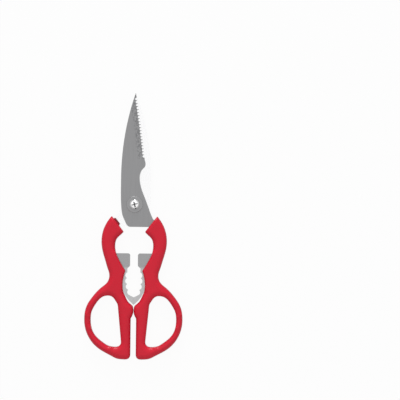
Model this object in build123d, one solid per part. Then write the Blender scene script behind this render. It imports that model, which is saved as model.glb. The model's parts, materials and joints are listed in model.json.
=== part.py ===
"""Kitchen and poultry shears with a jar grip, an opener tab and a nut-cracker mouth between the handles.

Each half is one steel stamping with a red handle moulded on its tang. The two halves turn on one screw.
Sizes are in millimetres. While the pieces are drawn, the pivot's axis is Z, +Y runs towards the blades' tips
and Z = 0 is the plane in which the two blades slide on each other. "Down" and "up" are distances from the
pivot towards the handles and the tips, and "out" is a distance from the middle line. Right-hand outlines are
drawn, and left-hand ones are their mirror images.
"""

import math
import os

from build123d import *

# Blades
blade_reach = 87.7          # pivot to the tips
blade_thickness = 2.0
blade_gap = 0.1             # running gap between the two blades
front_back_out = 10.9       # middle line to the front blade's back, where it is widest
rear_back_out = 12.4        # the rear blade's back stands out a little further
back_widest_up = 20.0
base_down = 17.8            # square-cut lower end of the blade
base_out = 3.5              # where the base's straight edge ends
neck_out = 14.4             # cutting side of the neck, where it goes into the handle
neck_down = 11.2
beak_out = 8.2              # nose between the cutting edge and the notch
beak_up = 32.0
beak_height = 5.6
beak_ease = 0.7             # how far the nose is rounded back above and below
notch_out = 3.7             # deepest place of the bone notch
notch_up = 21.5
edge_bow = 0.5              # how far the cutting edge bows out
bevel_width = 2.6           # ground band along the cutting edge
bevel_depth = 1.1
tooth_pitch = 2.4           # saw teeth on the front blade
tooth_depth = 1.4
tip_plain = 3.5             # plain length of edge at the tip, before the first tooth
point_width = 0.5          # flat left on the point of each tooth

# Opener tab and nut-cracker jaw, on the same stamping
tab_top_down = 38.7
tab_length = 9.9
tab_gap = 6.2               # slot between the two tabs
tab_corner_radius = 1.6
tab_foot_slope = 2.0        # how far the tab's lower edge drops towards the handle
jaw_land = 3.0              # plain edge between the tab and the jaw's first tooth
jaw_top_out = 5.2
jaw_widest_out = 5.45
jaw_widest_rise = 9.1       # that place, up from the jaw's last tooth
jaw_end_out = 3.0
jaw_bites = 4
jaw_tooth_depth = 1.2
jaw_overlap = 0.3           # how far each closed jaw passes the middle line
jaw_end_rise = 1.6          # last tooth, up from where the jaw reaches the middle line
jaw_step_rise = 5.9         # that place, up from the jaw's pointed foot
jaw_foot_rise = 0.8         # the foot, up from the mouth's lower end
jaw_side_out = 4.4          # lower side of the jaw, halfway round its curve
jaw_side_rise = 4.4         # that place, up from the foot
jaw_root_drop = 2.5         # where that side goes into the plastic, below the mouth's widest place
tang_wall = 2.4             # plastic round the tang
tang_toe_drop = 3.0         # end of the tang, below the hole's inner shoulder

# Handles
handle_thickness = 10.0
handle_reach = 122.3        # pivot to the handles' lower end
rim_radius = 2.1            # rounded rims of the handles
shoulder_out = 17.95
shoulder_down = 9.3
hook_out = 8.4              # inner corner of the shoulder
hook_down = 21.7
arm_out = 25.75             # outer side of the arm, where it is widest
arm_down = 29.3
arm_width = 10.75
grip_down = 32.7            # middle of the round jar grip
waist_out = 19.3            # outer side at the waist
waist_down = 56.3
throat_out = 6.6            # pointed edge between the jar grip and the nut-cracker mouth
throat_down = 52.4
mouth_out = 8.8             # half of the nut-cracker mouth
mouth_down = 64.0
bump_down = 84.0            # bumps that meet when the shears are closed
bump_ease = 0.6
mouth_foot_rise = 3.8       # where the mouth's edge runs into the bump, up from the bump
closing_gap = 0.2           # left between the two bumps
slit_width = 4.3            # slit below the bumps
slit_top_drop = 6.0         # upper end of the slit, below the bump
foot_out = 6.3
foot_radius = 4.0
loop_out = 38.7             # outer side of the finger loop
loop_down = 90.9
loop_band = 5.0             # width of the finger loop's band at its side
hole_top_out = 20.0         # finger hole
hole_top_drop = 15.85       # upper end of the hole, below the waist
hole_shoulder_out = 12.35
hole_shoulder_drop = 7.85   # inner shoulder of the hole, below its upper end
hole_corner_out = 9.6
hole_corner_rise = 4.5      # lower inner corner of the hole, up from its foot
hole_foot_out = 14.0
foot_band = 9.8             # plastic between the hole's foot and the handle's lower end
hole_rim_radius = 1.5
ledge_start = 1.4           # ledge at the rear handle's shoulder, from the shoulder's point
ledge_length = 5.8
ledge_width = 1.5
ledge_height = 2.2

# Pivot
screw_diameter = 4.5
screw_clearance = 0.05      # all round the shank, in both blades
head_diameter = 7.6
head_height = 2.2
head_rim_height = 0.7
screw_end = 0.4             # chamfer at the screw's end
recess_length = 5.2
recess_width = 1.1
recess_depth = 1.4
recess_taper = 12.0         # degrees
recess_turn = 15.0          # degrees that the cross is turned
washer_diameter = 12.8
washer_thickness = 0.7
washer_edge = 0.15
washer_clearance = 0.2
nut_width = 7.0             # across the flats
nut_thickness = 2.4
thread_clearance = 0.05

front_level = blade_gap / 2
rear_level = -blade_gap / 2 - blade_thickness
washer_level = front_level + blade_thickness
head_level = washer_level + washer_thickness
nut_level = rear_level - nut_thickness
half_thickness = handle_thickness / 2
tab_foot_down = tab_top_down + tab_length
jaw_top_down = tab_foot_down + tab_foot_slope + jaw_land
mouth_foot_down = bump_down - mouth_foot_rise
jaw_foot_down = mouth_foot_down - jaw_foot_rise
jaw_step_down = jaw_foot_down - jaw_step_rise
jaw_end_down = jaw_step_down - jaw_end_rise
slit_top_down = bump_down + slit_top_drop
hole_top_down = waist_down + hole_top_drop
hole_shoulder_down = hole_top_down + hole_shoulder_drop
hole_foot_down = handle_reach - foot_band
hole_corner_down = hole_foot_down - hole_corner_rise
tang_end_down = hole_shoulder_down + tang_toe_drop


def part_way(start, end, across, along):
    """The point that lies a share of the way from start to end, across in X and along in Y."""
    return (start[0] + (end[0] - start[0]) * across, start[1] + (end[1] - start[1]) * along)


def arm_back(top, arm, waist):
    """Outer side of the arm, from its top through its widest place to the waist."""
    return [
        Spline(top, part_way(top, arm, 0.7, 0.425), arm, tangents=[(0.85, -1), (0, -1)]),
        Spline(arm, part_way(arm, waist, 0.51, 0.58), part_way(arm, waist, 0.814, 0.815), waist,
               tangents=[(0, -1), (0, -1)]),
    ]


def arm_front(throat, grip_side, hook):
    """Inner side of the arm, from the throat round the jar grip up to the hook."""
    return [
        Spline(throat, part_way(throat, grip_side, 0.488, 0.335), grip_side, tangents=[(0.75, 1), (0, 1)]),
        Spline(grip_side, part_way(grip_side, hook, 0.22, 0.52), hook, tangents=[(0, 1), (-0.7, 1)]),
    ]


def grip_face():
    """Right handle's outer outline, without the finger hole."""
    shoulder = (shoulder_out, -shoulder_down)
    hook = (hook_out, -hook_down)
    arm = (arm_out, -arm_down)
    grip_side = (arm_out - arm_width, -grip_down)
    waist = (waist_out, -waist_down)
    throat = (throat_out, -throat_down)
    mouth = (mouth_out, -mouth_down)
    side = (loop_out, -loop_down)
    foot = (foot_out, -handle_reach)
    corner = (slit_width / 2, -handle_reach + foot_radius)
    slit = (slit_width / 2, -slit_top_down)
    bump = (closing_gap / 2, -bump_down)
    meet = (closing_gap / 2 + bump_ease, -mouth_foot_down)
    edges = [
        *arm_back(shoulder, arm, waist),
        Spline(waist, part_way(waist, side, 0.335, 0.28), part_way(waist, side, 0.727, 0.526), side,
               tangents=[(0, -1), (0, -1)]),
        Spline(side, part_way(side, foot, 0.099, 0.424), part_way(side, foot, 0.343, 0.723),
               part_way(side, foot, 0.685, 0.924), foot, tangents=[(0, -1), (-1, 0)]),
        Spline(foot, corner, tangents=[(-1, 0), (0, 1)]),
        Line(corner, slit),
        ThreePointArc(slit, bump, meet),
        Spline(meet, part_way(meet, mouth, 0.407, 0.179), part_way(meet, mouth, 0.728, 0.469), mouth,
               tangents=[(0.9, 1), (0, 1)]),
        Spline(mouth, throat, tangents=[(0, 1), (-0.35, 1)]),
        *arm_front(throat, grip_side, hook),
        Line(hook, shoulder),
    ]
    return make_face(edges)


def hole_face():
    """Right handle's finger hole."""
    top = (hole_top_out, -hole_top_down)
    side = (loop_out - loop_band, -loop_down)
    foot = (hole_foot_out, -hole_foot_down)
    corner = (hole_corner_out, -hole_corner_down)
    shoulder = (hole_shoulder_out, -hole_shoulder_down)
    edges = [
        Spline(top, part_way(top, side, 0.547, 0.192), part_way(top, side, 0.854, 0.525), side,
               tangents=[(1, 0), (0, -1)]),
        Spline(side, part_way(side, foot, 0.218, 0.62), part_way(side, foot, 0.553, 0.873), foot,
               tangents=[(0, -1), (-1, 0)]),
        Spline(foot, corner, tangents=[(-1, 0), (0.12, 1)]),
        Line(corner, shoulder),
        Spline(shoulder, part_way(shoulder, top, 0.216, 0.446), top, tangents=[(0.12, 1), (1, 0)]),
    ]
    return make_face(edges)


def edge_line():
    """Cutting edge, from the tip to the beak."""
    tip = (0, blade_reach)
    beak = (beak_out - beak_ease, beak_up + beak_height / 2)
    middle = part_way(tip, beak, 0.5, 0.5)
    return ThreePointArc(tip, (middle[0] + edge_bow, middle[1]), beak)


def head_face(back_out):
    """Blade from its tip to where its neck runs into the handle."""
    tip = (0, blade_reach)
    beak = (beak_out, beak_up)
    beak_top = (beak_out - beak_ease, beak_up + beak_height / 2)
    beak_foot = (beak_out - beak_ease, beak_up - beak_height / 2)
    notch = (notch_out, notch_up)
    neck = (neck_out, -neck_down)
    tang = ((neck_out + arm_out) / 2, -base_down)
    base = (-base_out, -base_down)
    heel = (-back_out * 0.91, -base_down * 0.37)
    back = (-back_out, back_widest_up)
    edges = [
        edge_line(),
        ThreePointArc(beak_top, beak, beak_foot),
        Spline(beak_foot, part_way(beak_foot, notch, 0.72, 0.42), notch, tangents=[(-1, -0.7), (0, -1)]),
        Spline(notch, part_way(notch, neck, 0.43, 0.53), neck, tangents=[(0, -1), (1, -2.1)]),
        Line(neck, tang),
        Line(tang, base),
        Spline(base, part_way(base, heel, 0.6, 0.38), heel, tangents=[(-1, 0.2), (-0.16, 1)]),
        Spline(heel, back, tangents=[(-0.16, 1), (0, 1)]),
        Spline(back, part_way(back, tip, 0.29, 0.55), tip, tangents=[(0, 1), (0.34, 1)]),
    ]
    return make_face(edges)


def jaw_line():
    """Line on which the points of the jaw's teeth lie, from its lower end up."""
    return ThreePointArc((jaw_end_out, -jaw_end_down), (jaw_widest_out, -jaw_end_down + jaw_widest_rise),
                         (jaw_top_out, -jaw_top_down))


def inner_plate_face():
    """Opener tab and nut-cracker jaw, before the jaw's teeth are cut, back to the middle of the arm."""
    tab_in = tab_gap / 2
    tab_top = -tab_top_down
    tab_foot = -tab_foot_down
    corner = (tab_in, tab_top)
    heel = (tab_in, tab_foot)
    jaw_foot = (-jaw_overlap, -jaw_foot_down)
    jaw_side = (jaw_side_out, -jaw_foot_down + jaw_side_rise)
    jaw_root = (mouth_out, -mouth_down - jaw_root_drop)
    outline = [
        Line((arm_out - arm_width / 2, tab_top), corner),
        Line(corner, heel),
        Line(heel, (jaw_top_out, tab_foot - tab_foot_slope)),
        Line((jaw_top_out, tab_foot - tab_foot_slope), (jaw_top_out, -jaw_top_down)),
        jaw_line(),
        Line((jaw_end_out, -jaw_end_down), (-jaw_overlap, -jaw_step_down)),
        Line((-jaw_overlap, -jaw_step_down), jaw_foot),
        ThreePointArc(jaw_foot, jaw_side, jaw_root),
        Line(jaw_root, ((waist_out + throat_out) / 2, -throat_down)),
        Line(((waist_out + throat_out) / 2, -throat_down), (arm_out - arm_width / 2, tab_top)),
    ]
    face = make_face(outline)
    rounded = [v for v in face.vertices() if abs(v.X - tab_in) < 0.01]
    return fillet(rounded, tab_corner_radius)


def scallops(line, start, pitch, count, depth):
    """Centres and radius of the round bites that leave points a pitch apart on the left side of a line."""
    half_bite = (pitch - point_width) / 2
    radius = (half_bite ** 2 + depth ** 2) / (2 * depth)
    centres = []
    for turn in range(count):
        share = (start + (turn + 0.5) * pitch) / line.length
        along = line % share
        aside = Vector(-along.Y, along.X)
        centres.append(line @ share + aside * (radius - depth))
    return centres, radius


def tang_face():
    """Steel inside the plastic, from the shoulder through the arm to a place beside the finger hole."""
    top = (shoulder_out, -shoulder_down - 2 * tang_wall)
    arm = (arm_out - tang_wall, -arm_down)
    waist = (waist_out - tang_wall, -waist_down)
    leg = (hole_shoulder_out - tang_wall, -hole_shoulder_down)
    toe = ((leg[0] + closing_gap / 2 + tang_wall) / 2, -tang_end_down)
    mouth = (mouth_out, -mouth_down)
    throat = (throat_out + tang_wall, -throat_down)
    grip_side = (arm_out - arm_width + tang_wall, -grip_down)
    hook = (hook_out + tang_wall, -hook_down)
    edges = [
        *arm_back(top, arm, waist),
        Spline(waist, leg, tangents=[(0, -1), (0, -1)]),
        Polyline(leg, (leg[0], -tang_end_down), toe, mouth, throat),
        *arm_front(throat, grip_side, hook),
        Line(hook, top),
    ]
    return make_face(edges)


def blank(back_out):
    """One stamping before it is ground, toothed and drilled, from Z = 0 up."""
    return extrude(head_face(back_out) + tang_face() + inner_plate_face(), blade_thickness)


def bevel_wedge():
    """What is ground away along the cutting edge and the nose, on the stamping's upper side."""
    tip = Vector(0, blade_reach)
    beak = Vector(beak_out - beak_ease, beak_up + beak_height / 2)
    along = (beak - tip).normalized()
    across = Plane(origin=tip + Vector(0, 0, blade_thickness), x_dir=Vector(-along.Y, along.X), z_dir=along)
    reach = 4 * bevel_width
    drop = bevel_depth * (reach + bevel_width) / bevel_width
    profile = across * make_face(Polyline((-bevel_width, 0), (reach, 0), (reach, -drop), close=True))
    return extrude(profile, blade_reach - beak_up + beak_height)


def stamping(back_out, toothed):
    """One finished steel stamping, from Z = 0 up, with its ground side up."""
    plate = blank(back_out) - bevel_wedge()
    tools = [scallops(jaw_line(), 0, jaw_line().length / jaw_bites, jaw_bites, jaw_tooth_depth)]
    if toothed:
        line = edge_line()
        count = int((line.length - tip_plain) / tooth_pitch)
        tools.append(scallops(line, tip_plain, tooth_pitch, count, tooth_depth))
    for centres, radius in tools:
        for centre in centres:
            plate -= Pos(centre) * Cylinder(radius, 3 * blade_thickness)
    return plate - Cylinder(screw_diameter / 2 + screw_clearance, 3 * blade_thickness)


def rims(body):
    """Edges round the lowest and the highest flat side of a body."""
    sides = body.faces().filter_by(GeomType.PLANE).sort_by(Axis.Z)
    return sides[0], sides[-1]


def grip():
    """Right handle as it is moulded, with rounded rims, before the tang takes its room."""
    floor = Pos(0, 0, -half_thickness)
    body = extrude(floor * grip_face(), handle_thickness)
    low, high = rims(body)
    body = fillet(low.edges() + high.edges(), min(rim_radius, 0.55 * loop_band))
    body -= extrude(floor * hole_face(), handle_thickness)
    low, high = rims(body)
    inner = low.inner_wires()[0].edges() + high.inner_wires()[0].edges()
    return fillet(inner, min(hole_rim_radius, 0.4 * loop_band))


def shoulder_ledge():
    """Ledge below the upper surface at the shoulder, on the side towards the blades."""
    hook = Vector(hook_out, -hook_down)
    shoulder = Vector(shoulder_out, -shoulder_down)
    along = (hook - shoulder).normalized()
    start = shoulder + along * ledge_start
    frame = Plane(origin=start, x_dir=along, z_dir=(0, 0, 1))
    face = Rectangle(ledge_length, 2 * ledge_width, align=(Align.MIN, Align.CENTER))
    face = fillet(face.vertices(), ledge_width * 0.6)
    return extrude(frame * face, ledge_height)


def pivot_screw():
    """Domed screw with a cross recess, its head on the washer and its end level with the nut."""
    radius = head_diameter / 2
    dome = head_height - head_rim_height
    ball = (radius ** 2 + dome ** 2) / (2 * dome)
    head = Pos(0, 0, head_height / 2) * Cylinder(radius, head_height)
    head &= Pos(0, 0, head_height - ball) * Sphere(ball)
    cross = Rectangle(recess_length, recess_width) + Rectangle(recess_width, recess_length)
    cross = Pos(0, 0, head_height) * Rot(0, 0, recess_turn) * cross
    recess = extrude(cross, -recess_depth, taper=recess_taper)
    length = head_level - nut_level
    shank = Pos(0, 0, -length / 2) * Cylinder(screw_diameter / 2, length)
    shank = chamfer(shank.edges().sort_by(Axis.Z)[0], screw_end)
    return Pos(0, 0, head_level) * (head - recess + shank)


def pivot_washer():
    """Wide flat washer with a broken upper rim."""
    ring = Pos(0, 0, washer_thickness / 2) * Cylinder(washer_diameter / 2, washer_thickness)
    ring = chamfer(ring.edges().sort_by(Axis.Z)[-1], washer_edge)
    ring -= Cylinder(screw_diameter / 2 + washer_clearance, 3 * washer_thickness)
    return Pos(0, 0, washer_level) * ring


def pivot_nut():
    """Hexagon nut against the rear blade, with its outer corners turned off."""
    body = extrude(RegularPolygon(nut_width / 2, 6, major_radius=False), nut_thickness)
    corner = nut_width / math.sqrt(3)
    turned = Cone(nut_width / 2, nut_width / 2 + 2 * nut_thickness, 2 * nut_thickness,
                  align=(Align.CENTER, Align.CENTER, Align.MIN))
    body &= turned + Pos(0, 0, nut_thickness) * Cylinder(corner, nut_thickness)
    body -= Cylinder(screw_diameter / 2 + thread_clearance, 3 * nut_thickness)
    return Pos(0, 0, nut_level) * body


def pieces():
    """Every piece of the shears by its node name, about the pivot."""
    moulded = grip()
    front_blank = Pos(0, 0, front_level) * blank(front_back_out)
    rear_blank = Pos(0, 0, rear_level) * blank(rear_back_out)
    front_blade = Pos(0, 0, front_level) * stamping(front_back_out, toothed=True)
    rear_blade = mirror(stamping(rear_back_out, toothed=False), about=Plane.XY)
    rear_blade = mirror(Pos(0, 0, -blade_gap / 2) * rear_blade, about=Plane.YZ)
    return {
        "front_blade": front_blade,
        "rear_blade": rear_blade,
        "front_handle": moulded - front_blank,
        "rear_handle": mirror(moulded + shoulder_ledge() - rear_blank, about=Plane.YZ),
        "pivot_screw": pivot_screw(),
        "pivot_washer": pivot_washer(),
        "pivot_nut": pivot_nut(),
    }


os.makedirs("parts", exist_ok=True)
# The finished model stands on Z = 0 with its origin under the middle of its length and width.
place = Pos(0, (handle_reach - blade_reach) / 2, half_thickness)
for node, shape in pieces().items():
    export_step(place * shape, f"parts/{node}.step")
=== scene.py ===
# %% [markdown]
# # Poultry shears
# These shears are two steel stampings that cross at one screw. Each stamping is blade, opener tab and
# nut-cracker jaw in one sheet, and each has a red handle moulded over its tang. The steel pieces come from the
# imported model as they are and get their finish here. The handles are modelled again, because a moulded handle
# has a crown and soft rims that a plain solid doesn't show.

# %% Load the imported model
import json
import math

import bpy
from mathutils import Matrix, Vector
from mathutils.kdtree import KDTree


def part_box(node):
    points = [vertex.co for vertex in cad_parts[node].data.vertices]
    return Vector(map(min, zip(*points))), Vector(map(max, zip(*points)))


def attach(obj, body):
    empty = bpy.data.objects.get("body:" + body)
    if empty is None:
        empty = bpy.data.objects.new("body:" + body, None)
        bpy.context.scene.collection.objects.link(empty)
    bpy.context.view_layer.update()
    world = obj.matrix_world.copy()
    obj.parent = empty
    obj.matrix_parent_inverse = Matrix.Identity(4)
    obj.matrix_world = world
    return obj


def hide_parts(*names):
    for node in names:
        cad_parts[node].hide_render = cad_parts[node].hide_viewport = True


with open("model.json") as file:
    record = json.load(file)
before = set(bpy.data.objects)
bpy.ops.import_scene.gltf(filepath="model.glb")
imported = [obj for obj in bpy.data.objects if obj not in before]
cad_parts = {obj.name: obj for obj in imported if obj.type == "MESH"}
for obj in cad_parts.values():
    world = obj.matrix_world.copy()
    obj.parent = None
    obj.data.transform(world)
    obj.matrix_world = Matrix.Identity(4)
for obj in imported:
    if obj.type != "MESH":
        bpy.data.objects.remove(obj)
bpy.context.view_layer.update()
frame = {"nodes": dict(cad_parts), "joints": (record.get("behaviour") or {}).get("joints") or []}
scene = bpy.context.scene
MM = 0.001
print("CAD nodes:", sorted(frame["nodes"]))

# %% [markdown]
# ## Places
# Everything is placed from a few facts of the frame: where the hinge stands, how high the middle of the handles
# is and how far the tips reach. Reading them from the frame keeps the looks in step with the solids.

# %% Places that the rest is worked out from
pivot = Vector(frame["joints"][0]["pos_m"])
handle_low, handle_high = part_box("front_handle")
blade_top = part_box("front_blade")[1]
head_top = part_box("pivot_screw")[1]
middle_height = (handle_low.z + handle_high.z) / 2
print("pivot", pivot[:], "middle height", middle_height, "tips at", blade_top.y)


def from_pivot(out, up):
    """A point given in millimetres out from the middle line and up from the pivot, in the frame's metres."""
    return Vector((pivot.x + out * MM, pivot.y + up * MM, 0))


# %% [markdown]
# ## Place of the ledge
# The left-hand shoulder carries a small ledge on the side that faces the blades. It is low, so it lies in the
# shade of the arm, and the plastic paints that shade on it. Its place is worked out here, because both the
# plastic and the handle need it.

# %% Place of the ledge
LEDGE_START = 2.6 * MM      # from the shoulder along the grip's edge
LEDGE_LENGTH = 6.6 * MM
LEDGE_WIDTH = 1.5 * MM      # that shows beside the grip
LEDGE_HEIGHT = 2.2 * MM     # above mid height
LEDGE_ROUND = 0.4 * MM
shoulder = from_pivot(-17.95, -9.3)
hook = from_pivot(-8.4, -21.7)
along = (hook - shoulder).normalized()
ledge_centre = shoulder + along * (LEDGE_START + LEDGE_LENGTH / 2) + Vector((0, 0, LEDGE_HEIGHT / 2))
print("ledge stands at", ledge_centre[:])

# %% [markdown]
# ## Camera
# The shears are seen from straight above through a long lens, so there is hardly any perspective. A long lens
# stands far back, which keeps the thin blades and the thicker handles at one scale.

# %% Camera
FIELD = 0.31496             # width of the view at the height of the blades
LENS = 200.0
SENSOR = 36.0
VIEW_CENTRE = from_pivot(51.46, 3.96)
TILT = math.radians(0.64)
camera_data = bpy.data.cameras.new("camera")
camera_data.lens = LENS
camera_data.sensor_width = SENSOR
camera = bpy.data.objects.new("camera", camera_data)
scene.collection.objects.link(camera)
camera.location = (VIEW_CENTRE.x, VIEW_CENTRE.y, blade_top.z + FIELD * LENS / SENSOR)
camera.rotation_euler = (0, 0, TILT)
scene.camera = camera
scene.view_settings.view_transform = "Standard"
print("camera stands", round(camera.location.z, 3), "m up")

# %% [markdown]
# ## Selecting
# An operator acts on everything that is selected. So each step first clears the selection and then picks the
# one object that it works on.


# %% Selection helpers
def only(piece):
    """Select one object alone and make it active."""
    bpy.ops.object.select_all(action="DESELECT")
    piece.select_set(True)
    bpy.context.view_layer.objects.active = piece


def settle(piece):
    """Write an object's place into its mesh, so that the object itself sits at the origin."""
    only(piece)
    bpy.ops.object.transform_apply(location=True, rotation=True, scale=True)


def apply_all(piece):
    """Apply each modifier in turn."""
    only(piece)
    for modifier in list(piece.modifiers):
        bpy.ops.object.modifier_apply(modifier=modifier.name)


# %% [markdown]
# ## Node helpers
# A finish is a tree of nodes. These short helpers place a node and feed its sockets, so that each finish below
# reads as a list of what it is made of.


# %% Node helpers
def put(tree, kind, **values):
    """Add a node, set its named properties and, for names of input sockets, their values."""
    node = tree.nodes.new(kind)
    for name, value in values.items():
        if hasattr(node, name):
            setattr(node, name, value)
        else:
            node.inputs[name.replace("_", " ")].default_value = value
    return node


def feed(tree, socket, term):
    """Give an input socket the value of another socket, or a fixed value."""
    if isinstance(term, bpy.types.NodeSocket):
        tree.links.new(term, socket)
    else:
        socket.default_value = term


def new_group(name, inputs, outputs):
    """An empty shader node group with named inputs and outputs."""
    group = bpy.data.node_groups.new(name, "ShaderNodeTree")
    for label, kind, value in inputs:
        socket = group.interface.new_socket(label, in_out="INPUT", socket_type=kind)
        socket.default_value = value
    for label, kind in outputs:
        group.interface.new_socket(label, in_out="OUTPUT", socket_type=kind)
    return group, group.nodes.new("NodeGroupInput").outputs, group.nodes.new("NodeGroupOutput").inputs


def use_group(tree, group, **values):
    """Place a group in a material, set its own values and return its outputs."""
    node = tree.nodes.new("ShaderNodeGroup")
    node.node_tree = group
    for name, value in values.items():
        node.inputs[name.replace("_", " ")].default_value = value
    return node.outputs


def new_material(name):
    """A material with a Principled shader: the material, its tree and the shader's inputs."""
    material = bpy.data.materials.new(name)
    material.use_nodes = True
    return material, material.node_tree, material.node_tree.nodes["Principled BSDF"].inputs


# %% [markdown]
# ## Value helpers
# Finishes are worked out from places and noise with small sums. Each helper here adds the node for one such sum
# and returns the socket that holds the outcome.


# %% Value helpers
def worked(tree, node, output, terms):
    """Feed a node its terms in order and return one of its outputs."""
    for socket, term in zip(node.inputs, terms):
        feed(tree, socket, term)
    return node.outputs[output]


def number(tree, operation, *terms, **settings):
    """The outcome of a sum on numbers."""
    return worked(tree, put(tree, "ShaderNodeMath", operation=operation, **settings), "Value", terms)


def arrow(tree, operation, output, *terms):
    """The outcome of a sum on vectors, which is a Vector or a Value."""
    return worked(tree, put(tree, "ShaderNodeVectorMath", operation=operation), output, terms)


def split(tree, vector):
    """The X, Y and Z of a vector, as named sockets."""
    parts = put(tree, "ShaderNodeSeparateXYZ")
    feed(tree, parts.inputs["Vector"], vector)
    return parts.outputs


def object_place(tree):
    """The place on the piece, in its own coordinates."""
    return put(tree, "ShaderNodeTexCoord").outputs["Object"]


def noise(tree, vector, **values):
    """A noise value at a place."""
    node = put(tree, "ShaderNodeTexNoise", **values)
    feed(tree, node.inputs["Vector"], vector)
    return node.outputs["Fac"]


def bumped(tree, strength, height, distance):
    """A normal that follows a height."""
    node = put(tree, "ShaderNodeBump", Distance=distance)
    feed(tree, node.inputs["Strength"], strength)
    feed(tree, node.inputs["Height"], height)
    return node.outputs["Normal"]


def mixed(tree, factor, first, second):
    """A colour mixed from two tones or sockets by a factor socket."""
    mix = put(tree, "ShaderNodeMix", data_type="RGBA")
    feed(tree, mix.inputs["Factor"], factor)
    colours = [socket for socket in mix.inputs if socket.type == "RGBA"]
    for socket, tone in zip(colours, (first, second)):
        feed(tree, socket, tone)
    return next(socket for socket in mix.outputs if socket.type == "RGBA")


def ranged(tree, value, low, high):
    """A value from 0 to 1 spread over a range."""
    spread = put(tree, "ShaderNodeMapRange", To_Min=low, To_Max=high)
    feed(tree, spread.inputs["Value"], value)
    return spread.outputs["Result"]


def stepped(tree, value, low, high):
    """A value that goes from 0 at one place to 1 at another."""
    step = put(tree, "ShaderNodeMapRange", interpolation_type="SMOOTHSTEP", From_Min=low, From_Max=high)
    feed(tree, step.inputs["Value"], value)
    return step.outputs["Result"]


# %% [markdown]
# ## Brushed steel
# Kitchen steel is brushed along the blade, which leaves fine streaks of slightly different brightness. Noise
# that is squeezed across the blade and stretched along it gives those streaks. The group puts out a streak
# value for colour, a patch value for roughness, and a normal for the fine grooves.

# %% Group: brushed
STREAKS_ACROSS = 2600.0     # per metre
STREAKS_ALONG = 45.0
PATCHES = 90.0
GROOVE_STRENGTH = 0.12
GROOVE_DEPTH = 0.02 * MM


def brushed_group():
    """Streaks along Y, as a value about 0.5 and as a fine bump."""
    group, ins, outs = new_group(
        "brushed",
        [("Across", "NodeSocketFloat", STREAKS_ACROSS), ("Along", "NodeSocketFloat", STREAKS_ALONG),
         ("Depth", "NodeSocketFloat", GROOVE_STRENGTH)],
        [("Streak", "NodeSocketFloat"), ("Patch", "NodeSocketFloat"), ("Normal", "NodeSocketVector")])
    place = object_place(group)
    terms = (ins["Across"], ins["Along"], ins["Across"])
    scale = worked(group, put(group, "ShaderNodeCombineXYZ"), "Vector", terms)
    streak = noise(group, arrow(group, "MULTIPLY", "Vector", place, scale), Scale=1.0, Detail=3.0)
    feed(group, outs["Streak"], streak)
    feed(group, outs["Patch"], noise(group, place, Scale=PATCHES, Detail=4.0))
    feed(group, outs["Normal"], bumped(group, ins["Depth"], streak, GROOVE_DEPTH))
    return group


brushed = brushed_group()
print("group", brushed.name, "has", len(brushed.nodes), "nodes")

# %% [markdown]
# ## Ground band
# Along the teeth runs a darker, mottled band, such as grinding leaves. It is found by its distance from the
# straight line between the tip and the nose above the notch.

# %% Group: ground band
BAND_WIDTH = 5.0 * MM
BAND_FADE = (-1.15, -0.75)  # where the band fades in, in widths from the line
MOTTLES = 950.0             # per metre


def ground_band_group():
    """Mask of the band within a width of a line, and the mottling in it."""
    group, ins, outs = new_group(
        "ground_band",
        [("Start", "NodeSocketVector", (0, 0, 0)), ("Across", "NodeSocketVector", (1, 0, 0)),
         ("Width", "NodeSocketFloat", BAND_WIDTH), ("Lowest", "NodeSocketFloat", 0.0)],
        [("Mask", "NodeSocketFloat"), ("Mottle", "NodeSocketFloat")])
    place = object_place(group)
    offset = arrow(group, "SUBTRACT", "Vector", place, ins["Start"])
    across = arrow(group, "DOT_PRODUCT", "Value", offset, ins["Across"])
    near = stepped(group, number(group, "DIVIDE", across, ins["Width"]), *BAND_FADE)
    above = number(group, "GREATER_THAN", split(group, place)["Y"], ins["Lowest"])
    feed(group, outs["Mask"], number(group, "MULTIPLY", near, above))
    feed(group, outs["Mottle"], noise(group, place, Scale=MOTTLES, Detail=2.0, Roughness=0.5))
    return group


ground_band = ground_band_group()
print("group", ground_band.name, "has", len(ground_band.nodes), "nodes")

# %% [markdown]
# ## Tones of the steel
# The front blade is an even satin grey and the rear blade is finely ground, so that it looks almost white. The
# tabs and the jaws of both stampings are a little brighter than the satin blade. Each pair is the dark and the
# light end of the streaks, or of the mottling.

# %% Tones of the steel
SATIN = ((0.265, 0.265, 0.27, 1), (0.315, 0.315, 0.32, 1))
BRIGHT = ((0.94, 0.94, 0.945, 1), (0.97, 0.97, 0.975, 1))
TAB = ((0.33, 0.33, 0.335, 1), (0.37, 0.37, 0.375, 1))
JAW = ((0.44, 0.44, 0.445, 1), (0.56, 0.56, 0.565, 1))
GROUND = ((0.20, 0.20, 0.205, 1), (0.31, 0.31, 0.315, 1))
SATIN_ROUGHNESS = (0.36, 0.46)
BRIGHT_ROUGHNESS = (0.16, 0.22)
MOTTLE_RANGE = (0.40, 0.58)  # noise below the first is dark, above the second light
TONE_TURN = 1.5 * MM        # half the height over which one tone turns into the next
TAB_TOP = from_pivot(0, -28).y
JAW_TOP = from_pivot(0, -50).y
EDGE_TIP = Vector((0, blade_top.y, 0))
EDGE_NOSE = from_pivot(7.5, 34.8)
BAND_END = EDGE_NOSE.y + 1 * MM
print("tabs from", TAB_TOP, "down, jaws from", JAW_TOP, "down")

# %% [markdown]
# ## Steel finishes
# One maker builds the finish of both stampings. It starts with the jaw tone at the bottom and lays the tab tone
# and the blade tone over it, each above its own height. Where the blade is toothed, the ground band comes last.


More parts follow.
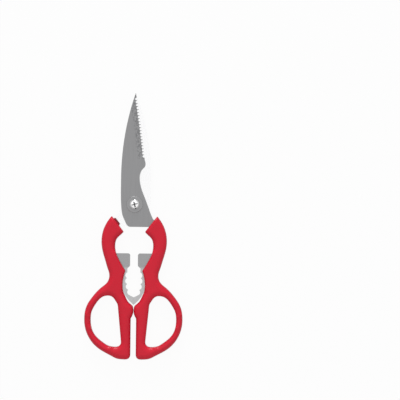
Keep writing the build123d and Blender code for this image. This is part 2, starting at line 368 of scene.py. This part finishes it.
# %% Steel
def steel(name, toothed, blade_tones, roughness):
    """Brushed steel with its tones along Y, and the ground band where toothed."""
    material, tree, shader = new_material(name)
    streaks = use_group(tree, brushed)
    height = split(tree, object_place(tree))["Y"]
    colour = mixed(tree, streaks["Streak"], *JAW)
    for place, tones in ((JAW_TOP, TAB), (TAB_TOP, blade_tones)):
        upper = mixed(tree, streaks["Streak"], *tones)
        turn = stepped(tree, height, place - TONE_TURN, place + TONE_TURN)
        colour = mixed(tree, turn, colour, upper)
    if toothed:
        across = (EDGE_NOSE - EDGE_TIP).normalized().cross(Vector((0, 0, -1)))
        band = use_group(tree, ground_band, Start=EDGE_TIP, Across=across, Lowest=BAND_END)
        ground = mixed(tree, stepped(tree, band["Mottle"], *MOTTLE_RANGE), *GROUND)
        colour = mixed(tree, band["Mask"], colour, ground)
    feed(tree, shader["Base Color"], colour)
    feed(tree, shader["Metallic"], 1.0)
    feed(tree, shader["Roughness"], ranged(tree, streaks["Patch"], *roughness))
    feed(tree, shader["Normal"], streaks["Normal"])
    return material


front_steel = steel("front_steel", True, SATIN, SATIN_ROUGHNESS)
rear_steel = steel("rear_steel", False, BRIGHT, BRIGHT_ROUGHNESS)
print("made", front_steel.name, "and", rear_steel.name)

# %% [markdown]
# ## Moulded plastic
# Injection moulding leaves a very fine ripple that breaks up the reflections, and a parting line where the two
# mould halves met, at mid height all round. The group also puts out how far a place is from mid height.

# %% Group: moulded
SEAM = (0.05 * MM, 0.16 * MM)  # the groove's flat bottom and its edge, from mid height
RIPPLES = 1400.0            # per metre
RIPPLE_STRENGTH = 0.25
RIPPLE_DEPTH = 0.03 * MM
CLOUDS = 70.0


def moulded_group():
    """Fine ripple with a groove at one height, as a normal, and a mask of the groove."""
    group, ins, outs = new_group(
        "moulded",
        [("Seam Height", "NodeSocketFloat", 0.0), ("Ripple", "NodeSocketFloat", RIPPLE_STRENGTH)],
        [("Seam", "NodeSocketFloat"), ("Cloud", "NodeSocketFloat"), ("Away", "NodeSocketFloat"),
         ("Normal", "NodeSocketVector")])
    place = object_place(group)
    away = number(group, "ABSOLUTE", number(group, "SUBTRACT", split(group, place)["Z"], ins["Seam Height"]))
    seam = number(group, "SUBTRACT", 1.0, stepped(group, away, *SEAM))
    ripple = noise(group, place, Scale=RIPPLES, Detail=2.0)
    height = number(group, "SUBTRACT", ripple, seam)
    feed(group, outs["Seam"], seam)
    feed(group, outs["Cloud"], noise(group, place, Scale=CLOUDS, Detail=3.0))
    feed(group, outs["Away"], away)
    feed(group, outs["Normal"], bumped(group, ins["Ripple"], height, RIPPLE_DEPTH))
    return group


moulded = moulded_group()
print("group", moulded.name, "has", len(moulded.nodes), "nodes")

# %% [markdown]
# ## Red plastic
# The handles are a red, half-gloss plastic. The upright walls get a deeper red than the crown, as painted
# shade, and the ledge the deepest, as painted shade for the shadow of the arm. The ledge is found by the
# distance from its centre, below the crown.

# %% Red plastic
RED = (0.60, 0.004, 0.024, 1)
RED_DEEP = (0.50, 0.002, 0.018, 1)
# painted shade: the red of the upright walls
RED_WALL_PAINTED_SHADE = (0.38, 0.010, 0.030, 1)
# painted shade: the red of the ledge, for the shadow of the arm
RED_LEDGE_PAINTED_SHADE = (0.16, 0.002, 0.006, 1)
RED_SEAM = (0.22, 0.002, 0.008, 1)
RED_ROUGHNESS = (0.32, 0.42)
RED_REFLECTION = 0.3
WALL_TOP = 3.3 * MM         # above mid height, where the walls end and the crown begins
WALL_SHADE = 0.7 * MM       # height over which the wall's tone turns into the crown's
LEDGE_SHADE = 0.6 * MM      # width over which the ledge's tone ends


def outside_ledge_shade(tree, away):
    """Mask of the ledge's painted shade: 0 on the ledge and 1 beyond its length or above its height."""
    centre = ledge_centre + Vector((0, 0, middle_height))
    reach = arrow(tree, "DISTANCE", "Value", object_place(tree), centre)
    ends = (LEDGE_LENGTH / 2 - LEDGE_SHADE / 2, LEDGE_LENGTH / 2 + LEDGE_SHADE / 2)
    above = stepped(tree, away, LEDGE_HEIGHT, LEDGE_HEIGHT + LEDGE_SHADE)
    return number(tree, "MAXIMUM", stepped(tree, reach, *ends), above)


def red_plastic():
    """Half-gloss red, with painted shade on the walls and a deeper painted shade on the ledge, and a parting
    line.
    """
    material, tree, shader = new_material("red_plastic")
    mould = use_group(tree, moulded, Seam_Height=middle_height)
    crown = mixed(tree, mould["Cloud"], RED_DEEP, RED)
    # painted shade: the walls below the crown get a deeper red
    colour = mixed(tree, stepped(tree, mould["Away"], WALL_TOP - WALL_SHADE, WALL_TOP), RED_WALL_PAINTED_SHADE, crown)
    # painted shade on the ledge, which lies under the arm
    colour = mixed(tree, outside_ledge_shade(tree, mould["Away"]), RED_LEDGE_PAINTED_SHADE, colour)
    feed(tree, shader["Base Color"], mixed(tree, mould["Seam"], colour, RED_SEAM))
    feed(tree, shader["Roughness"], ranged(tree, mould["Cloud"], *RED_ROUGHNESS))
    feed(tree, shader["Specular IOR Level"], RED_REFLECTION)
    feed(tree, shader["Normal"], mould["Normal"])
    return material


red = red_plastic()
print("made", red.name)

# %% [markdown]
# ## Screw, nut and washer
# These have fine rings about the screw's axis, as turning leaves them. The screw is part matt and nearly white.
# Its cross recess gets painted shade, dark along one arm and paler along the other.

# %% Turned steel
SCREW = ((0.94, 0.94, 0.945, 1), (0.97, 0.97, 0.975, 1))
NUT = ((0.72, 0.72, 0.73, 1), (0.80, 0.80, 0.81, 1))
WASHER = ((0.30, 0.30, 0.305, 1), (0.32, 0.32, 0.325, 1))
RINGS = 900.0               # per metre
RING_WAVER = 0.6
ROUGHNESS_SPREAD = 0.1
# painted shade in the cross recess: deep along one arm, lighter along the other
RECESS_LIP = 0.6 * MM       # below the head's top, where the recess's tones begin
RECESS_FADE = 0.25 * MM
RECESS_TURN = math.radians(15)
ARM_DEEP_SHADE = (0.07, 0.07, 0.07, 1)
ARM_HALF = 0.5 * MM         # half the width of the dark arm
ARM_FADE = 0.2 * MM
ARM_LIGHT_SHADE = (0.45, 0.45, 0.45, 1)


def recess_shaded(tree, place, centred, colour):
    """The head's colour, with the recess's painted shade below its lip."""
    arm = (math.cos(RECESS_TURN), math.sin(RECESS_TURN), 0)
    away = number(tree, "ABSOLUTE", arrow(tree, "DOT_PRODUCT", "Value", centred, arm))
    recess = mixed(tree, stepped(tree, away, ARM_HALF, ARM_HALF + ARM_FADE), ARM_DEEP_SHADE, ARM_LIGHT_SHADE)
    lip = head_top.z - RECESS_LIP
    return mixed(tree, stepped(tree, split(tree, place)["Z"], lip - RECESS_FADE, lip), recess, colour)


def turned(name, tones, metal, rough, has_recess=False):
    """Turned steel, matt where metal is low."""
    material, tree, shader = new_material(name)
    place = object_place(tree)
    centred = put(tree, "ShaderNodeMapping", vector_type="POINT", Location=(-pivot.x, -pivot.y, 0))
    feed(tree, centred.inputs["Vector"], place)
    rings = put(tree, "ShaderNodeTexWave", wave_type="RINGS", rings_direction="Z", Scale=RINGS,
                Distortion=RING_WAVER)
    feed(tree, rings.inputs["Vector"], centred.outputs["Vector"])
    colour = mixed(tree, rings.outputs["Fac"], *tones)
    # painted shade in the cross recess
    if has_recess:
        colour = recess_shaded(tree, place, centred.outputs["Vector"], colour)
    feed(tree, shader["Base Color"], colour)
    feed(tree, shader["Metallic"], metal)
    feed(tree, shader["Roughness"], ranged(tree, rings.outputs["Fac"], rough, rough + ROUGHNESS_SPREAD))
    return material


plated_screw = turned("plated_screw", SCREW, 0.4, 0.25, has_recess=True)
plated_nut = turned("plated_nut", NUT, 1.0, 0.20)
washer_steel = turned("washer_steel", WASHER, 1.0, 0.40)
print("made", plated_screw.name, plated_nut.name, washer_steel.name)

# %% [markdown]
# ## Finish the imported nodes
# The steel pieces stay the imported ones. Only their material slots change.

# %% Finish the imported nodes
finishes = {
    "front_blade": front_steel,
    "rear_blade": rear_steel,
    "pivot_screw": plated_screw,
    "pivot_nut": plated_nut,
    "pivot_washer": washer_steel,
}
for node, material in finishes.items():
    steel_piece = frame["nodes"][node]
    steel_piece.data.materials.clear()
    steel_piece.data.materials.append(material)
print("finished", sorted(finishes))

# %% [markdown]
# ## Handles
# A moulded handle has one soft surface from rim to rim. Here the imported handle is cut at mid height, and its
# lower half is mirrored to make the upper one. A voxel remesh makes it one even skin, and each point is then
# drawn in by how near it is to a rim.

# %% Helpers for a handle's outline
MERGE = 0.001 * MM          # points nearer than this are one
LEVEL = 0.01 * MM           # how near mid height an edge lies that was cut there
WALL_STEP = 0.2 * MM        # between the points that stand for the walls


def half_copy(node, name):
    """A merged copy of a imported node, cut at mid height so that only its lower half stays."""
    piece = bpy.data.objects.new(name, frame["nodes"][node].data.copy())
    scene.collection.objects.link(piece)
    only(piece)
    bpy.ops.object.mode_set(mode="EDIT")
    bpy.ops.mesh.customdata_custom_splitnormals_clear()
    bpy.ops.mesh.select_all(action="SELECT")
    bpy.ops.mesh.remove_doubles(threshold=MERGE)
    bpy.ops.mesh.bisect(plane_co=(0, 0, middle_height), plane_no=(0, 0, 1), clear_outer=True)
    bpy.ops.mesh.select_all(action="SELECT")
    bpy.ops.transform.translate(value=(0, 0, -middle_height))
    bpy.ops.object.mode_set(mode="OBJECT")
    return piece


def wall_points(piece):
    """Points on the upright walls, close together, as a tree that finds the nearest one."""
    points = []
    for edge in piece.data.edges:
        start, end = (piece.data.vertices[i].co for i in edge.vertices)
        if abs(start.z) > LEVEL or abs(end.z) > LEVEL:
            continue
        steps = max(1, int((end - start).length / WALL_STEP))
        points += [start.lerp(end, i / steps) for i in range(steps + 1)]
    tree = KDTree(len(points))
    for index, point in enumerate(points):
        tree.insert(Vector((point.x, point.y, 0)), index)
    tree.balance()
    return tree


# %% [markdown]
# ## Skin and crown
# The skin is an even net of small squares. The crown then thins it towards the rims, in a quarter of a sine
# wave, so that it leaves the rim at a slope and is level in the middle of the arm.

# %% Helpers for a handle's skin
VOXEL = 0.42 * MM
CROWN_WIDTH = 4.4 * MM      # from a rim to where the arm has its full thickness
RIM_SHARE = 0.70            # thickness at the rim, as a share of the full one
FULL_SHARE = 0.999          # thickness at the crown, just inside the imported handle's


def crowned(piece, walls):
    """Draw the skin in towards mid height near the rims."""
    for vertex in piece.data.vertices:
        flat = Vector((vertex.co.x, vertex.co.y, 0))
        share = min(1.0, walls.find(flat)[2] / CROWN_WIDTH)
        swell = math.sin(share * math.pi / 2)
        vertex.co.z *= RIM_SHARE + (FULL_SHARE - RIM_SHARE) * swell
    piece.data.update()


def skin(piece, walls):
    """One even skin over all that the mesh holds, smoothed and crowned."""
    remesh = piece.modifiers.new("skin", "REMESH")
    remesh.mode = "VOXEL"
    remesh.voxel_size = VOXEL
    soften = piece.modifiers.new("soften", "SMOOTH")
    soften.factor = 0.5
    soften.iterations = 3
    apply_all(piece)
    crowned(piece, walls)


def finish_grip(piece, node, body):
    """Lift a grip to its height, shade it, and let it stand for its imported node."""
    only(piece)
    bpy.ops.object.mode_set(mode="EDIT")
    bpy.ops.mesh.select_all(action="SELECT")
    bpy.ops.transform.translate(value=(0, 0, middle_height))
    bpy.ops.mesh.normals_make_consistent(inside=False)
    bpy.ops.object.mode_set(mode="OBJECT")
    bpy.ops.object.shade_smooth()
    piece.data.materials.clear()
    piece.data.materials.append(red)
    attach(piece, body)
    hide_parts(node)
    low, high = (Vector(c) for c in (piece.bound_box[0], piece.bound_box[6]))
    print(piece.name, "faces", len(piece.data.polygons), "from", low[:], "to", high[:])


# %% [markdown]
# ## Right-hand grip
# The right-hand grip is made first, up to its doubled outline. Its upper half is the mirror image of its lower.

# %% Right-hand grip, before its skin
front_grip = half_copy("front_handle", "front_grip")
grip_walls = wall_points(front_grip)
doubled = front_grip.modifiers.new("doubled", "MIRROR")
doubled.use_axis = (False, False, True)
doubled.use_clip = True
doubled.merge_threshold = 5 * MERGE
apply_all(front_grip)
print("outline points", len(front_grip.data.vertices))

# %% [markdown]
# ## Left-hand grip
# The left-hand grip is the mirror image of the right-hand one, with its faces turned outwards again.

# %% Left-hand grip, before its skin
rear_grip = front_grip.copy()
rear_grip.data = front_grip.data.copy()
rear_grip.name = "rear_grip"
scene.collection.objects.link(rear_grip)
rear_grip.scale = (-1, 1, 1)
settle(rear_grip)
bpy.ops.object.mode_set(mode="EDIT")
bpy.ops.mesh.select_all(action="SELECT")
bpy.ops.mesh.normals_make_consistent(inside=False)
bpy.ops.object.mode_set(mode="OBJECT")
rear_walls = wall_points(rear_grip)
print("outline points", len(rear_grip.data.vertices))

# %% [markdown]
# ## Ledge
# The ledge is a rounded bar, twice as wide as it shows, so that half of it lies inside the grip. It joins the
# left-hand grip before the skin is made, and the skin then runs over both.

# %% Ledge at the left-hand shoulder
bpy.ops.object.select_all(action="DESELECT")
bpy.ops.mesh.primitive_cube_add(size=1, location=ledge_centre, rotation=(0, 0, math.atan2(along.y, along.x)))
ledge = bpy.context.object
ledge.scale = (LEDGE_LENGTH, 2 * LEDGE_WIDTH, LEDGE_HEIGHT)
settle(ledge)
rounded = ledge.modifiers.new("rounded", "BEVEL")
rounded.width = LEDGE_ROUND
rounded.segments = 3
apply_all(ledge)
only(rear_grip)
ledge.select_set(True)
bpy.ops.object.join()
print("ledge joined, points now", len(rear_grip.data.vertices))

# %% [markdown]
# ## Skins
# Both grips get their skin and their crown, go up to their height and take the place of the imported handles.

# %% Skins
skin(front_grip, grip_walls)
skin(rear_grip, rear_walls)
finish_grip(front_grip, "front_handle", "front_half")
finish_grip(rear_grip, "rear_handle", "rear_half")

# %% [markdown]
# ## Floor
# The shears lie on a white sheet. To a camera the sheet glows, so that it is white without flooding the shears
# with light, and it still takes a soft shadow. The glow ends where the sheet is closed in, as between the
# bumps where the two grips meet, which paints shade into those gaps.

# %% Floor
PAPER = (0.6, 0.6, 0.6, 1)
FLOOR_SIZE = 6
FLOOR_DROP = 0.05 * MM      # below the handles
GLOW_SHARE = 0.95
GAP_REACH = 2 * MM          # how far round a place the sheet is looked at for walls
# painted shade in closed gaps: how open the sheet must be for its glow
GAP_SHADE_OPENNESS = (0.08, 0.35)  # below the first the glow is out, above the second it is full


def white_sheet():
    """White to the camera and in reflections, plain paper to every other ray, and painted dark, as shade, in
    closed gaps.
    """
    material, tree, shader = new_material("white_sheet")
    feed(tree, shader["Base Color"], PAPER)
    feed(tree, shader["Roughness"], 1.0)
    openness = put(tree, "ShaderNodeAmbientOcclusion", samples=8, Distance=GAP_REACH).outputs["AO"]
    glow = put(tree, "ShaderNodeEmission")
    # painted shade: the glow dims where walls close the sheet in
    feed(tree, glow.inputs["Strength"], stepped(tree, openness, *GAP_SHADE_OPENNESS))
    rays = put(tree, "ShaderNodeLightPath").outputs
    seen = number(tree, "MAXIMUM", rays["Is Camera Ray"], rays["Is Glossy Ray"])
    share = number(tree, "MULTIPLY", seen, GLOW_SHARE)
    paper = tree.nodes["Principled BSDF"].outputs["BSDF"]
    terms = (share, paper, glow.outputs["Emission"])
    blend = worked(tree, put(tree, "ShaderNodeMixShader"), "Shader", terms)
    feed(tree, tree.nodes["Material Output"].inputs["Surface"], blend)
    return material


bpy.ops.object.select_all(action="DESELECT")
bpy.ops.mesh.primitive_plane_add(size=FLOOR_SIZE, location=(0, 0, handle_low.z - FLOOR_DROP))
floor = bpy.context.object
floor.name = "floor"
floor.data.materials.append(white_sheet())
print("floor at", floor.location.z)

# %% [markdown]
# ## Lamp
# One soft lamp stands low beyond the tips, so that slopes that face the tips are brighter than the flat tops.

# %% Lamp
KEY_PLACE = Vector((-0.2, 2.1, 0.75))
KEY_SIZE = 0.9
KEY_WATTS = 34
key_data = bpy.data.lights.new("key", "AREA")
key_data.size = KEY_SIZE
key_data.energy = KEY_WATTS
key = bpy.data.objects.new("key", key_data)
scene.collection.objects.link(key)
key.location = KEY_PLACE
key.rotation_euler = KEY_PLACE.to_track_quat("Z", "Y").to_euler()
print("key lamp", round(KEY_PLACE.length, 2), "m away")

# %% [markdown]
# ## Room
# The room is bright overhead and dimmer towards its walls, so the edges of the handles are darker than their
# tops. To the camera, and in reflections, it is plain white.

# %% Room
ZENITH = 1.0
HORIZON = 0.25
CEILING = 0.8               # sine of the elevation from which the room is at its brightest
world = bpy.data.worlds.new("room")
scene.world = world
world.use_nodes = True
room = world.node_tree
toward = put(room, "ShaderNodeTexCoord").outputs["Generated"]
height = number(room, "DIVIDE", split(room, toward)["Z"], CEILING, use_clamp=True)
rays = put(room, "ShaderNodeLightPath").outputs
direct = number(room, "MAXIMUM", rays["Is Camera Ray"], rays["Is Glossy Ray"])
background = room.nodes["Background"]
strength = number(room, "MAXIMUM", direct, ranged(room, height, HORIZON, ZENITH))
feed(room, background.inputs["Strength"], strength)
feed(room, background.inputs["Color"], (1, 1, 1, 1))
print("room from", HORIZON, "to", ZENITH)
